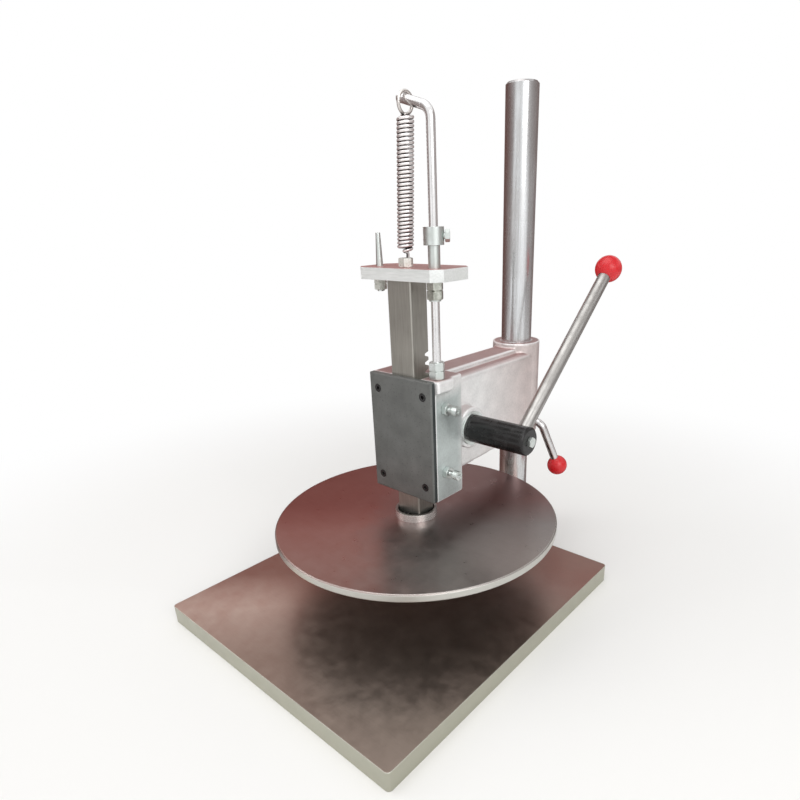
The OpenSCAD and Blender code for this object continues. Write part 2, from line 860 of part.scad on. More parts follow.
module stop_collar() {
  color("lightgray")
    difference() {
      at_post() translate([0, 0, collar_z0]) ring(collar_d, post_d + 2 * slide_fit, collar_h);
      at_collar_screw() cylinder(d = collar_screw_d + 2 * run_fit, h = collar_d);
    }
}

module collar_screw() {
  tip = post_d / 2 + tip_gap;
  head = collar_d / 2 + collar_neck;
  color("lightgray")
    at_collar_screw() {
      translate([0, 0, tip]) cylinder(d = collar_screw_d, h = head - tip + collar_head_h / 2);
      translate([0, 0, head]) hex_head(collar_screw_af, collar_head_h);
    }
}

module return_spring() {
  color("gainsboro")
    translate([0, press_y, 0]) tube(spring_path, wire_d, spring_sides);
}

function involute(a) = tan(a) * 180 / PI - a;
tooth_half_a = 90 / gear_teeth - tooth_backlash / 4 / pitch_r * 180 / PI;
function flank_a(r) = tooth_half_a + involute(pressure_a) - involute(acos(gear_base_r / r));
function flank_r(i) = gear_base_r + (gear_tip_r - gear_base_r) * i / flank_steps;

module gear_outline() {
  polygon([
    for (k = [0 : gear_teeth - 1])
      let (mid = 180 + (k + 1 / 2) * 360 / gear_teeth)
      each concat(
        [gear_root_r * [cos(mid - flank_a(gear_base_r)), sin(mid - flank_a(gear_base_r))]],
        [for (i = [0 : flank_steps]) let (r = flank_r(i), a = mid - flank_a(r)) r * [cos(a), sin(a)]],
        [for (i = [flank_steps : -1 : 0]) let (r = flank_r(i), a = mid + flank_a(r)) r * [cos(a), sin(a)]],
        [gear_root_r * [cos(mid + flank_a(gear_base_r)), sin(mid + flank_a(gear_base_r))]]
      )
  ]);
}

module pinion_gear() {
  color("darkgray")
    difference() {
      translate([0, pinion_y, pinion_z]) side_outline(gear_w) gear_outline();
      at_pinion(-gear_w / 2 - over) cylinder(d = shaft_d + 2 * thread_fit, h = gear_w + 2 * over);
    }
}

module pinion_shaft() {
  color("gainsboro")
    difference() {
      at_pinion(shaft_x0) cylinder(d = shaft_d, h = shaft_x1 - shaft_x0);
      at_pinion(shaft_x0 - over)
        cylinder(d = end_bolt_d + 2 * thread_fit, h = end_bolt_grip + tap_room + over);
    }
}

module thrust_washer() {
  color("lightgray")
    at_pinion(boss_face_x + face_gap) ring(washer_d, shaft_d + 2 * thread_fit, washer_t);
}

module end_washer() {
  color("lightgray")
    at_pinion(shaft_x0 - end_washer_t) ring(washer_d, end_bolt_d + 2 * plain_fit, end_washer_t);
}

module end_bolt() {
  color("lightgray")
    at_pinion(shaft_x0 - end_washer_t - end_bolt_h) {
      hex_head(end_bolt_af, end_bolt_h);
      translate([0, 0, end_bolt_h / 2])
        cylinder(d = end_bolt_d, h = end_bolt_h / 2 + end_washer_t + end_bolt_grip);
    }
}

module lever_hub() {
  color("black")
    difference() {
      at_pinion(hub_x0) rotate_extrude() polygon([
        [0, 0], [hub_d / 2, 0], [hub_d / 2, hub_l - hub_chamfer], [hub_d / 2 - hub_chamfer, hub_l], [0, hub_l]
      ]);
      at_pinion(hub_x0 - over) cylinder(d = shaft_d + 2 * thread_fit, h = hub_grip + thread_fit + over);
      at_lever() translate([0, 0, -rod_tail - thread_fit])
        cylinder(d = rod_d + 2 * thread_fit, h = rod_tail + hub_d);
      at_pinion(lever_x) cylinder(d = hub_bolt_d + 2 * thread_fit, h = hub_x1 - lever_x + over);
    }
}

module hub_bolt() {
  tip_x = lever_x + rod_d / 2 + tip_gap;
  color("lightgray")
    at_pinion(hub_x1) {
      hex_head(hub_bolt_af, hub_bolt_h);
      translate([0, 0, tip_x - hub_x1]) cylinder(d = hub_bolt_d, h = hub_x1 - tip_x + hub_bolt_h / 2);
    }
}

module lever_rod() {
  color("whitesmoke")
    at_lever() translate([0, 0, -rod_tail])
      cylinder(d = rod_d, h = rod_tail + lever_l - knob_d / 2 + knob_grip);
}

module lever_knob() {
  color("crimson")
    at_lever() difference() {
      translate([0, 0, lever_l]) sphere(d = knob_d);
      translate([0, 0, lever_l - knob_d])
        cylinder(d = rod_d + 2 * thread_fit, h = knob_d / 2 + knob_grip + thread_fit);
    }
}

module at_clamp_corner() {
  at_clamp() translate([clamp_out, 0, 0]) rotate([0, -clamp_lean, 0]) children();
}

module clamp_lever() {
  color("whitesmoke") {
    at_clamp() translate([clamp_x0, 0, 0]) along_x() {
      cylinder(d = clamp_d, h = clamp_straight - bend_bead);
      translate([0, 0, clamp_straight]) sphere(d = clamp_d + 2 * bend_bead);
    }
    at_clamp() translate([clamp_x0 + clamp_straight, 0, -clamp_bend_r]) rotate([0, -90, -90])
      rotate_extrude(angle = clamp_bend_a) translate([clamp_bend_r, 0]) circle(d = clamp_d);
    at_clamp_corner() {
      translate([0, 0, -clamp_bend_l]) sphere(d = clamp_d + 2 * bend_bead);
      translate([0, 0, -clamp_l + clamp_knob_d / 2 - clamp_grip])
        cylinder(d = clamp_d, h = clamp_l - clamp_knob_d / 2 + clamp_grip - clamp_bend_l - bend_bead);
    }
  }
}

module clamp_knob() {
  color("crimson")
    at_clamp_corner() difference() {
      translate([0, 0, -clamp_l]) sphere(d = clamp_knob_d);
      translate([0, 0, -clamp_l + clamp_knob_d / 2 - clamp_grip - thread_fit])
        cylinder(d = clamp_d + 2 * thread_fit, h = clamp_grip + clamp_knob_d / 2);
    }
}

base_plate();
column();
column_screw();
press_disc();
disc_screw();
flange_cup();
cup_screws();
ram();
top_plate();
anchor_bolt();
stop_stud();
stop_nuts();
guide_bush();
bush_nuts();
head_casting();
front_cover();
cover_screws();
gib_strip();
gib_screws();
gib_nuts();
spring_post();
post_nuts();
stop_collar();
collar_screw();
return_spring();
pinion_gear();
pinion_shaft();
thrust_washer();
end_washer();
end_bolt();
lever_hub();
hub_bolt();
lever_rod();
lever_knob();
clamp_lever();
clamp_knob();
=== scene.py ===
import math

import bmesh
import bpy
from mathutils import Matrix, Vector


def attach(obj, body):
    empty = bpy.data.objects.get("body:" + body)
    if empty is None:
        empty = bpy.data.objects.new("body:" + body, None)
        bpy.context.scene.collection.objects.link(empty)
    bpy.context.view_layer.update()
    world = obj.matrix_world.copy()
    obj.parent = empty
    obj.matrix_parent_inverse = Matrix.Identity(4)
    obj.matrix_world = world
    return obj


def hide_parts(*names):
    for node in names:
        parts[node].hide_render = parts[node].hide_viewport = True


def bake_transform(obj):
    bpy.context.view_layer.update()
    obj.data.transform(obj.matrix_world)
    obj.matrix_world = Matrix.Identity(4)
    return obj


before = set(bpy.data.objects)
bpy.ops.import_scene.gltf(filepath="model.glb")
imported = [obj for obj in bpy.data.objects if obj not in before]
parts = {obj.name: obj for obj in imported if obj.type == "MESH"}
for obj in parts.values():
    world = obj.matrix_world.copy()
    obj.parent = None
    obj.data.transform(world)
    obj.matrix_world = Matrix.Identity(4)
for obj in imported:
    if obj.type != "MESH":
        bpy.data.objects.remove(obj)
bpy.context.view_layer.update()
mm = 0.001
white = (1, 1, 1, 1)
print("frame loaded with", len(parts), "pieces")


def metres(lengths):
    return tuple(length * mm for length in lengths)


def newObject(name, data):
    thing = bpy.data.objects.new(name, data)
    bpy.context.collection.objects.link(thing)
    return thing


def meshFrom(shape, name):
    mesh = bpy.data.meshes.new(name)
    shape.to_mesh(mesh)
    shape.free()
    return mesh


def finalMesh(thing, name):
    mesh = bpy.data.meshes.new_from_object(thing.evaluated_get(bpy.context.evaluated_depsgraph_get()))
    mesh.name = name
    return mesh


shot = {
    "place": (287.61, -278.03, 286.67),  # mm
    "yaw": 41.24,  # degrees
    "pitch": 21.90,
    "roll": -1.60,
    "lens": 26.41,  # mm
    "sensor": 36,
    "nearest": 10,
    "shift": (-0.0444, 0.0669),
}


def setCamera():
    yaw, pitch, roll = (math.radians(shot[key]) for key in ("yaw", "pitch", "roll"))
    level = Vector((math.cos(yaw), math.sin(yaw), 0))
    heading = Vector((-math.sin(yaw), math.cos(yaw), 0))
    ahead = heading * math.cos(pitch) - Vector((0, 0, math.sin(pitch)))
    above = level.cross(ahead)
    right = level * math.cos(roll) + above * math.sin(roll)
    up = above * math.cos(roll) - level * math.sin(roll)
    lens = bpy.data.cameras.new("camera")
    lens.sensor_width = shot["sensor"]
    lens.lens = shot["lens"]
    lens.shift_x, lens.shift_y = shot["shift"]
    lens.clip_start = shot["nearest"] * mm
    eye = newObject("camera", lens)
    turn = Matrix((right, up, -ahead)).transposed().to_4x4()
    eye.matrix_world = Matrix.Translation(metres(shot["place"])) @ turn
    bpy.context.scene.camera = eye


# Linear colour of an sRGB code
def hexColour(code):
    channels = [int(code[i:i + 2], 16) / 255 for i in (1, 3, 5)]
    return [c / 12.92 if c <= 0.04045 else ((c + 0.055) / 1.055) ** 2.4 for c in channels] + [1.0]


def addNode(tree, kind, inputs=None, **settings):
    node = tree.nodes.new(kind)
    for key, value in settings.items():
        setattr(node, key, value)
    for key, value in (inputs or {}).items():
        if isinstance(value, bpy.types.NodeSocket):
            tree.links.new(value, node.inputs[key])
        else:
            node.inputs[key].default_value = value
    return node


def reckon(tree, operation, *values):
    return addNode(tree, "ShaderNodeMath", dict(enumerate(values)), operation=operation).outputs[0]


def reckonVector(tree, operation, *values):
    node = addNode(tree, "ShaderNodeVectorMath", dict(enumerate(values)), operation=operation)
    return node.outputs["Value" if operation in ("DOT_PRODUCT", "LENGTH") else "Vector"]


# The band from low to high becomes the range from start to end, and values outside it stay at its ends
def remap(tree, value, low=0, high=1, start=0, end=1, curve="LINEAR"):
    inputs = {0: value, 1: low, 2: high, 3: start, 4: end}
    return addNode(tree, "ShaderNodeMapRange", inputs, interpolation_type=curve).outputs[0]


# Each tone is a colour code, a colour or the output of a node
def mixTone(tree, share, under, over):
    under, over = (hexColour(tone) if isinstance(tone, str) else tone for tone in (under, over))
    return addNode(tree, "ShaderNodeMix", {0: share, 6: under, 7: over}, data_type="RGBA").outputs[2]


# Noise with clouds of about the given size in mm
def noise(tree, place, size, detail, coarse=0.5, swirl=0):
    inputs = {
        "Vector": place,
        "Scale": 1 / (size * mm),
        "Detail": detail,
        "Roughness": coarse,
        "Distortion": swirl,
    }
    return addNode(tree, "ShaderNodeTexNoise", inputs).outputs[0]


noiseBand = (0.3, 0.7)  # nearly all values of a noise lie in it


def drawnOut(tree, place, lay):
    return addNode(tree, "ShaderNodeMapping", {"Vector": place, "Scale": lay}).outputs[0]


def axisOf(tree, vector, axis):
    return addNode(tree, "ShaderNodeSeparateXYZ", {0: vector}).outputs[axis]


def geometry(tree, output):
    return addNode(tree, "ShaderNodeNewGeometry").outputs[output]


def roundedNormal(tree, radius, samples=4):
    return addNode(tree, "ShaderNodeBevel", {"Radius": radius * mm}, samples=samples).outputs[0]


def bumped(tree, height, strength, depth, normal=None):
    inputs = {"Strength": strength, "Distance": depth * mm, "Height": height}
    if normal is not None:
        inputs["Normal"] = normal
    return addNode(tree, "ShaderNodeBump", inputs).outputs[0]


def newTree(name):
    finish = bpy.data.materials.new(name)
    finish.use_nodes = True
    tree = finish.node_tree
    tree.nodes.clear()
    place = addNode(tree, "ShaderNodeTexCoord").outputs["Object"]
    return finish, tree, place


def showSurface(tree, surface):
    addNode(tree, "ShaderNodeOutputMaterial", {"Surface": surface})


def newFinish(name, **sockets):
    finish, tree, place = newTree(name)
    shader = addNode(tree, "ShaderNodeBsdfPrincipled", sockets)
    showSurface(tree, shader.outputs[0])
    return finish, tree, shader, place


def dress(tree, shader, colour, rough, normal):
    for socket, value in (("Base Color", colour), ("Roughness", rough), ("Normal", normal)):
        tree.links.new(value, shader.inputs[socket])


studio = {
    "floor": "#f7f6f4",
    "floorHalf": 6,  # m
    "floorRough": 0.9,
    "fade": (0.25, 0.65),  # m from the middle, where the floor turns into the white background
    "ambient": 0.6,
    "aim": (0, 0.05, 0.15),  # m
    "lamps": [  # name, place in m, size in m, watts
        ("overheadLamp", (-0.15, -0.25, 1.55), 1.3, 7.0),
        ("rightLamp", (1.15, -0.45, 0.85), 0.9, 7.0),
        ("leftLamp", (-1.1, -0.7, 0.75), 0.8, 2.5),
    ],
    "flags": [  # name, cloth, first and last angle, radius and height in m of the lower and upper hem
        ("surroundFlag", "greyCloth", 12, 246, (1.0, 0), (1.0, 0.42)),
        ("upperFlag", "greyCloth", 12, 246, (0.3, 0.34), (0.3, 0.52)),
        ("slitFlag", "greyCloth", -62, -56, (0.9, 0), (0.9, 0.5)),
        ("floorFlag", "greyCloth", 70, 215, (0.12, 0.002), (1.0, 0.002)),
        ("warmFlag", "warmCloth", 134, 200, (1.0, 0.42), (1.0, 0.85)),
    ],
    "flagSteps": 24,
    "cloths": {  # tone near the front, tone at the back on the left
        "greyCloth": ("#aaa4a2", "#6c4f49"),
        "warmCloth": ("#d8a39c", "#d8a39c"),
    },
    "clothBack": (-0.87, 0.5, 0),
    "clothBand": (-0.3, 0.95),  # cosines between which the cloth's tone changes
}


# One for rays from the camera, off metal or through glass, and nothing for light that falls on the object
def seenDirectly(tree):
    ray = addNode(tree, "ShaderNodeLightPath").outputs
    shiny = reckon(tree, "MAXIMUM", ray["Is Glossy Ray"], ray["Is Transmission Ray"])
    return reckon(tree, "MAXIMUM", ray["Is Camera Ray"], shiny)


def setBackground():
    world = bpy.data.worlds.new("studio")
    world.use_nodes = True
    tree = world.node_tree
    tree.nodes.clear()
    level = remap(tree, seenDirectly(tree), 0, 1, studio["ambient"], 1)
    sky = addNode(tree, "ShaderNodeBackground", {"Color": white, "Strength": level})
    addNode(tree, "ShaderNodeOutputWorld", {"Surface": sky.outputs[0]})
    bpy.context.scene.world = world
    bpy.context.scene.view_settings.view_transform = "Standard"


def setFloor():
    grid = bmesh.new()
    bmesh.ops.create_grid(grid, x_segments=1, y_segments=1, size=studio["floorHalf"])
    sheet = meshFrom(grid, "floor")
    floor = newObject("floor", sheet)
    finish, tree, place = newTree("paleFloor")
    sockets = {"Base Color": hexColour(studio["floor"]), "Roughness": studio["floorRough"]}
    matt = addNode(tree, "ShaderNodeBsdfPrincipled", sockets)
    fade = remap(tree, reckonVector(tree, "LENGTH", place), *studio["fade"], curve="SMOOTHSTEP")
    share = reckon(tree, "MULTIPLY", fade, seenDirectly(tree))
    glow = addNode(tree, "ShaderNodeEmission", {"Color": white, "Strength": 1})
    both = addNode(tree, "ShaderNodeMixShader", {0: share, 1: matt.outputs[0], 2: glow.outputs[0]})
    showSurface(tree, both.outputs[0])
    sheet.materials.append(finish)


def setLamps():
    for name, place, size, watts in studio["lamps"]:
        lamp = bpy.data.lights.new(name, "AREA")
        lamp.size = size
        lamp.energy = watts
        holder = newObject(name, lamp)
        holder.location = place
        holder.rotation_euler = (Vector(studio["aim"]) - Vector(place)).to_track_quat("-Z", "Y").to_euler()


def levelHeading(tree, outward):
    flat = reckonVector(tree, "MULTIPLY", outward, (1, 1, 0))
    return reckonVector(tree, "NORMALIZE", flat)


# Cloth of a flag: glows evenly, in another tone towards the back on the left
def flagCloth(name, front, behind):
    cloth, tree, place = newTree(name)
    rear = reckonVector(tree, "DOT_PRODUCT", levelHeading(tree, place), studio["clothBack"])
    tone = mixTone(tree, remap(tree, rear, *studio["clothBand"]), front, behind)
    glow = addNode(tree, "ShaderNodeEmission", {"Color": tone, "Strength": 1})
    showSurface(tree, glow.outputs[0])
    return cloth


# Cloth flags, seen only in reflections: they draw the dark edges along bright round bars
def setFlags():
    cloths = {name: flagCloth(name, *tones) for name, tones in studio["cloths"].items()}
    for name, cloth, first, last, low, high in studio["flags"]:
        wall = bmesh.new()
        a = math.radians(first)
        hems = [wall.verts.new((radius * math.cos(a), radius * math.sin(a), z)) for radius, z in (low, high)]
        pole = wall.edges.new(hems)
        bmesh.ops.spin(
            wall,
            geom=hems + [pole],
            cent=(0, 0, 0),
            axis=(0, 0, 1),
            angle=math.radians(last - first),
            steps=studio["flagSteps"],
        )
        sheet = meshFrom(wall, name)
        sheet.materials.append(cloths[cloth])
        flag = newObject(name, sheet)
        flag.visible_camera = False
        flag.visible_diffuse = False
        flag.visible_transmission = False
        flag.visible_shadow = False


setCamera()
setBackground()
setFloor()
setLamps()
setFlags()
print("camera and studio set")

topDustAndSheen = {"start": 0.5, "full": 0.92}  # how far a face looks up, as a cosine
rubAndHighlight = {"samples": 6, "start": 0.985, "full": 0.86}  # cosine between the rounded and the flat normal


# Film of dust and dried oil on faces that look up, together with a painted reflection of the warm
# surroundings
def dustAndSheenOnTop(tree, under, dustAndSheenTone, most=1):
    upward = axisOf(tree, geometry(tree, "Normal"), "Z")
    dustAndSheenShare = remap(tree, upward, topDustAndSheen["start"], topDustAndSheen["full"], 0, most)
    return mixTone(tree, dustAndSheenShare, under, dustAndSheenTone)


# Bright line along an edge, rubbed by handling and a painted highlight: the rounded normal leaves the flat
# one there
def rubbedAndHighlitEdge(tree, under, bright, radius):
    soft = roundedNormal(tree, radius, rubAndHighlight["samples"])
    even = reckonVector(tree, "DOT_PRODUCT", soft, geometry(tree, "True Normal"))
    edge = remap(tree, even, rubAndHighlight["start"], rubAndHighlight["full"])
    return mixTone(tree, edge, under, bright), soft


# How far a face looks away from an upright axis: 1 straight out, -1 straight in
def facingOut(tree, place, axis):
    spoke = levelHeading(tree, reckonVector(tree, "SUBTRACT", place, axis))
    return reckonVector(tree, "DOT_PRODUCT", spoke, geometry(tree, "Normal"))


def toneRamp(tree, along, tones):
    ramp = addNode(tree, "ShaderNodeValToRGB", {0: along})
    stops = ramp.color_ramp.elements
    for i, (spot, code) in enumerate(tones):
        stop = stops[i] if i < 2 else stops.new(spot)  # a new ramp has two stops
        stop.position = spot
        stop.color = hexColour(code)
    return ramp.outputs[0]


# In a look, a noise has size in mm, detail, coarseness and swirl, and a bump has strength and depth in mm.
# Other lengths are in mm too, and a band is where one tone goes over into the next
plateLook = {
    "metal": 0.92,
    "leftward": (-0.75, -0.66, 0),
    "nearward": (0.66, -0.75, 0),
    "cloud": (48, 5, 0.62),
    "drift": (-45, 45),
    "nearBand": (-10, 80),
    "farBand": (25, -20),
    "lay": (1, 24, 24),
    "lines": (26, 4),
    "lineShade": (0.35, 0.65),
    "fleck": (9, 5, 0.6),
    "shadeBand": (0.7, 1.3),
    "shade": (0.9, 1.08),
    "flatBand": (0.3, 0.8),
    "edge": 0.9,
    "dulling": 0.12,
    "bump": (0.04, 0.1),
}


# Hot-rolled plate, ground and oiled: cloudy tones across it that are a painted reflection of the
# surroundings and painted shade, fine grinding lines, sides with a painted highlight and a bright edge that
# is rubbed and a painted highlight
def plateSteel(name, middle, reach, tones, near, far, under, rim, edge, roughness):
    look = plateLook
    finish, tree, shader, place = newFinish(name, Metallic=look["metal"])
    centred = reckonVector(tree, "SUBTRACT", place, metres(middle))
    leftward = reckonVector(tree, "DOT_PRODUCT", centred, look["leftward"])
    # The tones across the plate, from right to left, are a painted reflection of the surroundings
    drift = remap(tree, noise(tree, place, *look["cloud"]), 0, 1, *metres(look["drift"]))
    along = remap(tree, reckon(tree, "ADD", leftward, drift), *metres((-reach, reach)))
    tone = toneRamp(tree, along, tones)
    # Near and far tones towards the front and the back: painted shade and painted reflection
    nearward = reckonVector(tree, "DOT_PRODUCT", centred, look["nearward"])
    for band, (over, most) in ((look["nearBand"], near), (look["farBand"], far)):
        tone = mixTone(tree, remap(tree, nearward, *metres(band), 0, most), tone, over)
    lines = noise(tree, drawnOut(tree, place, look["lay"]), *look["lines"])
    fleck = noise(tree, place, *look["fleck"])
    both = reckon(tree, "ADD", remap(tree, lines, 0, 1, *look["lineShade"]), fleck)
    shade = remap(tree, both, *look["shadeBand"], *look["shade"])
    tinted = addNode(tree, "ShaderNodeVectorMath", {0: tone, 3: shade}, operation="SCALE").outputs[0]
    # Sides take the rim tone as a painted highlight; undersides take their own tone
    upward = axisOf(tree, geometry(tree, "True Normal"), "Z")
    side = remap(tree, reckon(tree, "ABSOLUTE", upward), *look["flatBand"], 1, 0)
    below = remap(tree, reckon(tree, "MULTIPLY", upward, -1), *look["flatBand"])
    cut = mixTone(tree, side, mixTone(tree, below, tinted, under), rim)
    # Bright edge line: rubbed bare by handling and a painted highlight
    colour, normal = rubbedAndHighlitEdge(tree, cut, edge, look["edge"])
    rough = remap(tree, fleck, *noiseBand, roughness, roughness + look["dulling"])
    dress(tree, shader, colour, rough, bumped(tree, lines, *look["bump"], normal))
    return finish


groundLook = {
    "lines": (9, 5),
    "smear": (24, 4),
    "shadeBand": (0.75, 1.25),
    "dulling": 0.08,
    "edge": 0.35,
    "bump": (0.08, 0.06),
}


# Ground steel bar: fine lines left by the wheel, faint smears of oil, and, where a top tone is given, dust
# and a painted reflection on faces that look up
def groundSteel(name, pale, dark, lay, roughness, dustAndSheenTone=None, metal=1):
    look = groundLook
    finish, tree, shader, place = newFinish(name, Metallic=metal)
    lines = noise(tree, drawnOut(tree, place, lay), *look["lines"])
    smear = noise(tree, place, *look["smear"])
    shade = remap(tree, reckon(tree, "ADD", lines, smear), *look["shadeBand"])
    colour = mixTone(tree, shade, pale, dark)
    if dustAndSheenTone:
        colour = dustAndSheenOnTop(tree, colour, dustAndSheenTone)
    rough = remap(tree, shade, 0, 1, roughness, roughness + look["dulling"])
    soft = roundedNormal(tree, look["edge"])
    dress(tree, shader, colour, rough, bumped(tree, lines, *look["bump"], soft))
    return finish


paintLook = {
    "metal": 0.5,
    "sand": (1.8, 6, 0.7),
    "swell": (12, 3),
    "shadeBand": (0.75, 1.25),
    "blockRear": (40, 52),
    "blockTop": (166, 176),
    "armRear": (80, 150),
    "topDustAndSheen": 0.9,
    "dustAndSheenHeights": (154, 162),
    "dustAndSheenBelow": 0.45,
    "wornAndHighlitBand": (0.505, 0.54),
    "brightShare": 0.8,
    "rough": (0.3, 0.46),
    "bump": (0.55, 0.35),
}


# Silver paint on a sand casting: fine sand texture, a few broad hollows, a rust-brown top tone on what looks
# up that is dust and a painted reflection, painted shade in a cooler grey on the lower front of the block, a
# warmer tone towards the rear, and edges made bright by worn paint and a painted highlight
def silverPaint(name, pale, dark, dustAndSheenTone, front, rear, edge):
    look = paintLook
    finish, tree, shader, place = newFinish(name, Metallic=look["metal"])
    sand = noise(tree, place, *look["sand"])
    swell = noise(tree, place, *look["swell"])
    height = reckon(tree, "ADD", sand, swell)
    mixed = mixTone(tree, remap(tree, height, *look["shadeBand"]), dark, pale)
    depth = axisOf(tree, place, "Y")
    level = axisOf(tree, place, "Z")
    # Painted shade: a cooler grey on the block's side at the front, below the ear; the arm turns warmer
    # towards the rear
    behind = remap(tree, depth, *metres(look["blockRear"]))
    above = remap(tree, level, *metres(look["blockTop"]))
    rearWarmed = mixTone(tree, remap(tree, depth, *metres(look["armRear"])), white, rear)
    frontShadeAndRearTone = mixTone(tree, reckon(tree, "MAXIMUM", behind, above), front, rearWarmed)
    painted = reckonVector(tree, "MULTIPLY", mixed, frontShadeAndRearTone)
    # Top tone: dust and a painted reflection, weaker low down
    dustAndSheenCovered = dustAndSheenOnTop(tree, painted, dustAndSheenTone, look["topDustAndSheen"])
    high = remap(tree, level, *metres(look["dustAndSheenHeights"]), look["dustAndSheenBelow"], 1)
    covered = mixTone(tree, high, painted, dustAndSheenCovered)
    # Bright edges: worn paint and a painted highlight
    wornAndHighlitEdges = remap(tree, geometry(tree, "Pointiness"), *look["wornAndHighlitBand"], 0, look["brightShare"])
    colour = mixTone(tree, wornAndHighlitEdges, covered, edge)
    rough = remap(tree, swell, *noiseBand, *look["rough"])
    dress(tree, shader, colour, rough, bumped(tree, height, *look["bump"]))
    return finish


coverLook = {
    "metal": 0.55,
    "cloud": (18, 5, 0.6),
    "speck": (1.4, 3),
    "speckBand": (0.62, 0.74),
    "shadeBand": (0.3, 0.9),
    "sideBand": (0.8, 0.95),
    "rough": (0.42, 0.56),
    "edge": 0.4,
    "bump": (0.12, 0.1),
}


# Surface-ground cover, left dull: blue-grey with small dark specks, with painted shade on its sides
def coverGrey(name, pale, dark, side):
    look = coverLook
    finish, tree, shader, place = newFinish(name, Metallic=look["metal"])
    cloud = noise(tree, place, *look["cloud"])
    speck = noise(tree, place, *look["speck"])
    both = reckon(tree, "ADD", cloud, remap(tree, speck, *look["speckBand"]))
    mixed = mixTone(tree, remap(tree, both, *look["shadeBand"]), pale, dark)
    # Sides take the side tone, a painted shade
    across = reckon(tree, "ABSOLUTE", axisOf(tree, geometry(tree, "True Normal"), "X"))
    colour = mixTone(tree, remap(tree, across, *look["sideBand"]), mixed, side)
    rough = remap(tree, cloud, *noiseBand, *look["rough"])
    soft = roundedNormal(tree, look["edge"])
    dress(tree, shader, colour, rough, bumped(tree, speck, *look["bump"], soft))
    return finish


platedLook = {
    "detail": 4,
    "shadeBand": (0.35, 0.65),
    "dulling": 1.6,
    "edge": 0.3,
    "thread": (0.9, 0.5),
}


# Plated or polished metal: one tone with soft clouds, fine wipe marks in the gloss
def platedMetal(name, pale, dark, grain, roughness, thread=None, metal=1):
    look = platedLook
    finish, tree, shader, place = newFinish(name, Metallic=metal)
    shade = remap(tree, noise(tree, place, grain, look["detail"]), *look["shadeBand"])
    colour = mixTone(tree, shade, pale, dark)
    rough = remap(tree, shade, 0, 1, roughness, roughness * look["dulling"])
    normal = roundedNormal(tree, look["edge"])
    if thread:  # turns of a screw thread along one axis
        axis, pitch = thread
        inputs = {"Vector": place, "Scale": math.pi / 10 / (pitch * mm)}  # gives one wave a pitch
        turns = addNode(tree, "ShaderNodeTexWave", inputs, bands_direction=axis, wave_profile="TRI")
        normal = bumped(tree, turns.outputs["Fac"], *look["thread"], normal)
    dress(tree, shader, colour, rough, normal)
    return finish


cupLook = {
    "metal": 0.8,
    "lay": (1, 1, 12),
    "rings": (9, 4),
    "inwardBand": (0.4, 0.1),
    "lipDepth": 0.6,
    "rough": (0.2, 0.34),
    "edge": 0.35,
    "bump": (0.06, 0.06),
}


# Turned cup: bright and finely ringed outside, dull on its lip, black inside from old oil and painted shade
# of the deep bore
def turnedCup(name, pale, dark, lip, oilAndShade, axis, rim):
    look = cupLook
    finish, tree, shader, place = newFinish(name, Metallic=look["metal"])
    rings = noise(tree, drawnOut(tree, place, look["lay"]), *look["rings"])
    turned = mixTone(tree, rings, pale, dark)
    # Inner wall and floor below the lip: old oil and painted shade
    inward = remap(tree, facingOut(tree, place, metres(axis)), *look["inwardBand"])
    deep = remap(tree, axisOf(tree, place, "Z"), *metres((rim, rim - look["lipDepth"])))
    oilAndShadeShare = reckon(tree, "MULTIPLY", inward, deep)
    colour = mixTone(tree, oilAndShadeShare, dustAndSheenOnTop(tree, turned, lip), oilAndShade)
    rough = remap(tree, rings, *noiseBand, *look["rough"])
    soft = roundedNormal(tree, look["edge"])
    dress(tree, shader, colour, rough, bumped(tree, rings, *look["bump"], soft))
    return finish


oxideLook = {
    "metal": 0.3,
    "wear": (7, 5, 0.55),
    "shadeBand": (0.5, 0.85),
    "rough": (0.18, 0.34),
    "samples": 12,
    "bump": (0.04, 0.1),
}


# Black oxide on turned steel: near black and oily, worn a little paler in places
def blackOxide(name, pale, dark, roundness):
    look = oxideLook
    finish, tree, shader, place = newFinish(name, Metallic=look["metal"])
    wear = noise(tree, place, *look["wear"])
    colour = mixTone(tree, remap(tree, wear, *look["shadeBand"]), dark, pale)
    rough = remap(tree, wear, *noiseBand, *look["rough"])
    soft = roundedNormal(tree, roundness, look["samples"])
    dress(tree, shader, colour, rough, bumped(tree, wear, *look["bump"], soft))
    return finish


phenolicLook = {
    "refraction": 1.5,
    "swirl": (8, 3, 0.5, 0.6),
    "rough": (0.22, 0.32),
    "ripple": (2.5, 2),
    "bump": (0.04, 0.1),
}


# Moulded phenolic: bright glossy red with a faint swirl and a trace of ripple in the gloss
def redPhenolic(name, pale, dark):
    look = phenolicLook
    finish, tree, shader, place = newFinish(name, IOR=look["refraction"])
    swirl = noise(tree, place, *look["swirl"])
    colour = mixTone(tree, swirl, pale, dark)
    rough = remap(tree, swirl, *noiseBand, *look["rough"])
    ripple = noise(tree, place, *look["ripple"])
    dress(tree, shader, colour, rough, bumped(tree, ripple, *look["bump"]))
    return finish


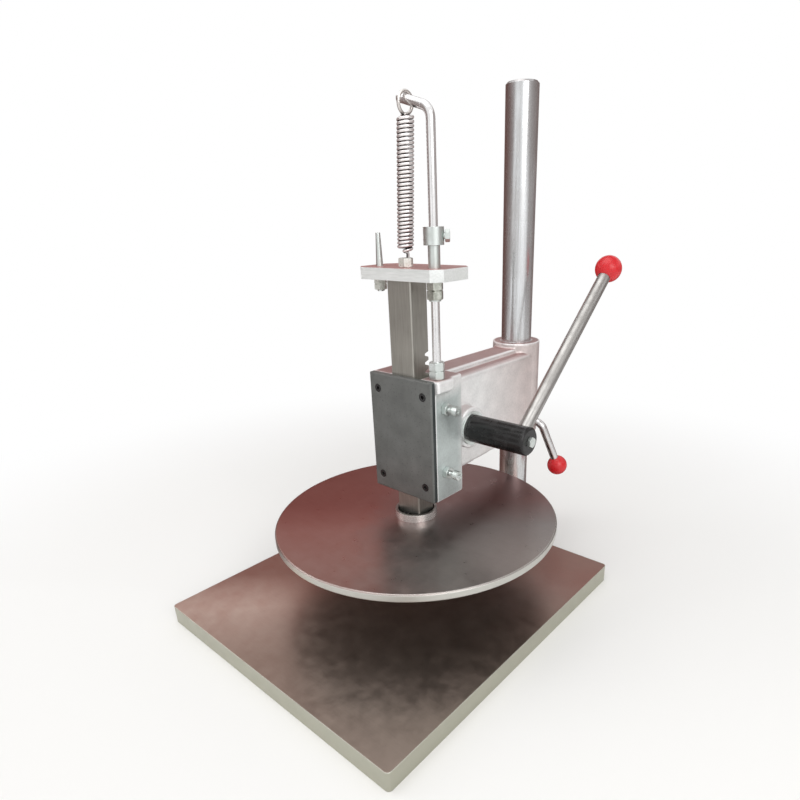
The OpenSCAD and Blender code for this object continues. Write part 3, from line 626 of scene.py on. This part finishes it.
# The tones, near and far tones of base and disc are painted reflection of the surroundings and painted shade
# under the disc; the rim tone is a painted highlight
basePlate = {
    "middle": (0, 0, 14),
    "reach": 170,
    "tones": [(0.05, "#8b5e56"), (0.82, "#ddd3c8"), (0.35, "#a59992")],  # right end, left end, between
    "near": ("#918277", 0.8),
    "far": ("#8f7168", 0.9),
    "under": "#8f8b84",
    "rim": "#b3b2a4",
    "edge": "#d3d4ca",
    "roughness": 0.3,
}
pressDisc = {
    "middle": (0, 25, 68),
    "reach": 110,
    "tones": [(0.44, "#777170"), (0.68, "#9c726c")],  # grey on the right, painted reflection of warm surroundings on the left
    "near": ("#b0a6a0", 0.55),
    "far": ("#7f524d", 0.65),
    "under": "#857f7a",
    "rim": "#c9c8c2",
    "edge": "#e2e1dc",
    "roughness": 0.27,
}
flangeCup = {
    "pale": "#fdfcfa",
    "dark": "#e6e4e0",
    "lip": "#8a8581",
    "oilAndShade": "#1d1b1a",
    "axis": (0, 25, 0),
    "rim": 74,
}
headPaint = {
    "pale": "#fbfbfa",
    "dark": "#e2e2e1",
    "dustAndSheenTone": "#a07a78",
    "front": "#ccd5d4",
    "rear": "#e5d8d6",
    "edge": "#ffffff",
}
zinc = {"pale": "#dfe4e2", "dark": "#cdd3cf", "grain": 9, "roughness": 0.26}
oxide = {"pale": "#363434", "dark": "#1f1e1e"}

finishes = {
    "baseSteel": plateSteel("baseSteel", **basePlate),
    "discSteel": plateSteel("discSteel", **pressDisc),
    # The column's top gets a darker, reddish top tone: dust and a painted reflection
    "columnSteel": groundSteel("columnSteel", "#dfe1e3", "#c9c9c9", (9, 9, 0.3), 0.23, dustAndSheenTone="#8d8381"),
    "ramSteel": groundSteel("ramSteel", "#b0aea7", "#9c9a93", (9, 9, 0.4), 0.4),
    "turnedSteel": groundSteel("turnedSteel", "#d4d3cf", "#b2b0ab", (1, 1, 16), 0.24),
    "turnedCup": turnedCup("turnedCup", **flangeCup),
    "castSilver": silverPaint("castSilver", **headPaint),
    "coverGrey": coverGrey("coverGrey", "#777977", "#5f615f", side="#3f4444"),
    "zincPlate": platedMetal("zincPlate", **zinc),
    "zincThreadX": platedMetal("zincThreadX", **zinc, thread=("X", 0.8)),
    "chromePlate": platedMetal("chromePlate", "#e4e3e3", "#d3d1d1", 12, 0.2),
    "postChrome": platedMetal("postChrome", "#f2f1f1", "#e4e3e3", 12, 0.12, metal=0.9),
    # Darker zinc as painted shade for the bush nuts, paler and more diffuse zinc as painted light for the
    # stop nuts and the anchor bolt
    "zincShaded": platedMetal("zincShaded", "#cfd1c8", "#9d9f96", 3, 0.26),
    "zincLightened": platedMetal("zincLightened", "#f4f6f0", "#d9dcd3", 3, 0.26, metal=0.5),
    "satinRod": platedMetal("satinRod", "#b6b4b1", "#a5a3a0", 12, 0.3),
    # Reddish top tone on the top plate's upper faces: dust and a painted reflection
    "milledAlloy": groundSteel("milledAlloy", "#f3f5f4", "#dfe2e0", (1, 9, 9), 0.42, "#b98b88", 0.4),
    "blackOxide": blackOxide("blackOxide", **oxide, roundness=0.4),
    "hubOxide": blackOxide("hubOxide", **oxide, roundness=3.0),
    "redPhenolic": redPhenolic("redPhenolic", "#e02a31", "#cc1c24"),
}
print("finishes made:", len(finishes))

finishOf = {  # every other piece is zinc plated
    "base_plate": "baseSteel",
    "press_disc": "discSteel",
    "column": "columnSteel",
    "ram": "ramSteel",
    "gib_strip": "ramSteel",
    "flange_cup": "turnedCup",
    "pinion_gear": "turnedSteel",
    "pinion_shaft": "turnedSteel",
    "front_cover": "coverGrey",
    "top_plate": "milledAlloy",
    "gib_screws": "zincThreadX",
    "spring_post": "postChrome",
    "bush_nuts": "zincShaded",
    "stop_nuts": "zincLightened",
    "anchor_bolt": "zincLightened",
    "clamp_lever": "chromePlate",
    "lever_rod": "satinRod",
    "lever_hub": "hubOxide",
    "cover_screws": "blackOxide",
    "cup_screws": "blackOxide",
    "lever_knob": "redPhenolic",
    "clamp_knob": "redPhenolic",
}
for name, part in parts.items():
    part.data.materials.clear()
    part.data.materials.append(finishes[finishOf.get(name, "zincPlate")])
print("finishes given to", len(parts), "pieces")


def dressMesh(mesh, finish):
    for face in mesh.polygons:
        face.use_smooth = True
    mesh.materials.clear()
    mesh.materials.append(finish)


casting = {  # lengths in mm
    "weld": 0.002,
    "voxel": 0.92,
    "rounds": 2,
    "ease": 0.5,
}


# The head's solid again, with the soft corners of a sand casting
def makeCasting():
    body = bmesh.new()
    body.from_mesh(parts["head_casting"].data)
    bmesh.ops.remove_doubles(body, verts=body.verts, dist=casting["weld"] * mm)
    piece = newObject("castHead", meshFrom(body, "castShell"))
    sand = piece.modifiers.new("sandMould", "REMESH")
    sand.mode = "VOXEL"
    sand.voxel_size = casting["voxel"] * mm
    fettle = piece.modifiers.new("fettle", "SMOOTH")
    fettle.factor = casting["ease"]
    fettle.iterations = casting["rounds"]
    ready = finalMesh(piece, "castHead")
    piece.modifiers.clear()
    piece.data = ready
    dressMesh(ready, finishes["castSilver"])
    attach(piece, "head")
    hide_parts("head_casting")
    print("casting:", len(ready.polygons), "faces")


wireLook = {
    "metal": 0.85,
    "outwardBand": (0.42, 0.85),
    "eyeBlend": 1,
    "drawing": (1.2, 3),
    "rough": (0.26, 0.4),
    "bump": (0.08, 0.05),
}


# Drawn spring wire, zinc plated, with painted light and shade: bright on the outside of the coil, painted
# shade where it faces the axis
def springWire(name, bright, innerShade, eyeTone, lean):
    look = wireLook
    finish, tree, shader, place = newFinish(name, Metallic=look["metal"])
    height = axisOf(tree, place, "Z")
    x, y = metres(spring["axis"])
    foot = x - lean * spring["footStart"] * mm
    across = reckon(tree, "MULTIPLY_ADD", height, lean, foot)
    axis = addNode(tree, "ShaderNodeCombineXYZ", {0: across, 1: y}).outputs[0]
    # Painted light on the outside of each turn, painted shade where the wire faces the axis
    brightShare = remap(tree, facingOut(tree, place, axis), *look["outwardBand"])
    wound = mixTone(tree, brightShare, innerShade, bright)
    eye = spring["loopMiddle"] - spring["loopRadius"]
    ring = remap(tree, height, *metres((eye - look["eyeBlend"], eye + look["eyeBlend"])))
    colour = mixTone(tree, ring, wound, eyeTone)
    drawing = noise(tree, place, *look["drawing"])
    rough = remap(tree, drawing, *noiseBand, *look["rough"])
    dress(tree, shader, colour, rough, bumped(tree, drawing, *look["bump"]))
    return finish


spring = {  # lengths in mm, turns of foot, lead and loop in degrees
    "axis": (0, 25),
    "wire": 2.15,
    "wireRings": 3,
    "meanRadius": 4.55,
    "footStart": 262.1,
    "footBend": 1.6,
    "footSteps": 6,
    "footRise": 2.8,
    "footTurn": 223.5,
    "leadTurn": 270,
    "leadSteps": 20,
    "turns": 32.629,
    "perTurn": 20,
    "neckRise": 2.0,
    "loopMiddle": 352.51,
    "loopRadius": 6.2,
    "loopAcross": 5.3,
    "loopTurn": 325,
    "loopSteps": 24,
    "bright": "#f6f1f0",
    "innerShade": "#463d3c",
    "eyeTone": "#d6d1cd",
}


def wound(radius, angle, z):
    return Vector((radius * math.cos(angle), radius * math.sin(angle), z))


# Middle line of the wire, in mm from the spring's axis, before it leans over to the post
def springPath(bendTop, high):
    bend, rise, leadSteps = spring["footBend"], spring["footRise"], spring["leadSteps"]
    r, eye, wire = spring["meanRadius"], spring["loopRadius"], spring["wire"]
    first, lead, loop = (math.radians(spring[key]) for key in ("footTurn", "leadTurn", "loopTurn"))
    path = [wound(-bend, first, spring["footStart"])]
    for i in range(spring["footSteps"]):  # up from the anchor bolt to the axis
        a = math.pi / 2 * i / spring["footSteps"]
        path.append(wound(-bend * math.cos(a), first, bendTop - bend * (1 - math.sin(a))))
    for i in range(leadSteps):  # out to the coil
        u = i / leadSteps
        path.append(wound(r * (1 - (1 - u) ** 2), first + lead * u, bendTop + rise * u))
    low = bendTop + rise
    steps = round(spring["turns"] * spring["perTurn"])
    for i in range(steps):
        u = i / steps
        path.append(wound(r, first + lead + 2 * math.pi * spring["turns"] * u, low + (high - low) * u))
    for i in range(leadSteps):  # in to the axis
        u = i / leadSteps
        path.append(wound(r * (1 - u * u), lead * u, high + spring["neckRise"] * u))
    for i in range(spring["loopSteps"] + 1):  # round the post
        a = loop * i / spring["loopSteps"]
        path.append(Vector((0, eye * math.sin(a), spring["loopMiddle"] - eye * math.cos(a))))
    path.append(path[-1] + wire * Vector((0, math.cos(loop), math.sin(loop))))
    return path


def makeSpring():
    bendTop = spring["footStart"] + spring["wire"] + spring["footBend"]
    high = spring["loopMiddle"] - spring["loopRadius"] - spring["neckRise"]
    path = springPath(bendTop, high)
    lean = spring["loopAcross"] / (spring["loopMiddle"] - spring["footStart"])
    for spot in path:
        spot.x += lean * (spot.z - spring["footStart"])

    line = bpy.data.curves.new("springLine", "CURVE")
    line.dimensions = "3D"
    line.bevel_depth = spring["wire"] / 2 * mm
    line.bevel_resolution = spring["wireRings"]
    line.use_fill_caps = True
    run = line.splines.new("POLY")
    run.points.add(len(path) - 1)
    middle = Vector((*spring["axis"], 0))
    for point, spot in zip(run.points, path):
        point.co = (*metres(spot + middle), 1)
    holder = newObject("springLine", line)
    coil = finalMesh(holder, "returnSpring")
    bpy.data.objects.remove(holder)
    dressMesh(coil, springWire("springZinc", spring["bright"], spring["innerShade"], spring["eyeTone"], lean))
    piece = newObject("returnSpring", coil)
    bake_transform(piece)
    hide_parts("return_spring")
    print("spring:", len(coil.polygons), "faces")


makeCasting()
makeSpring()
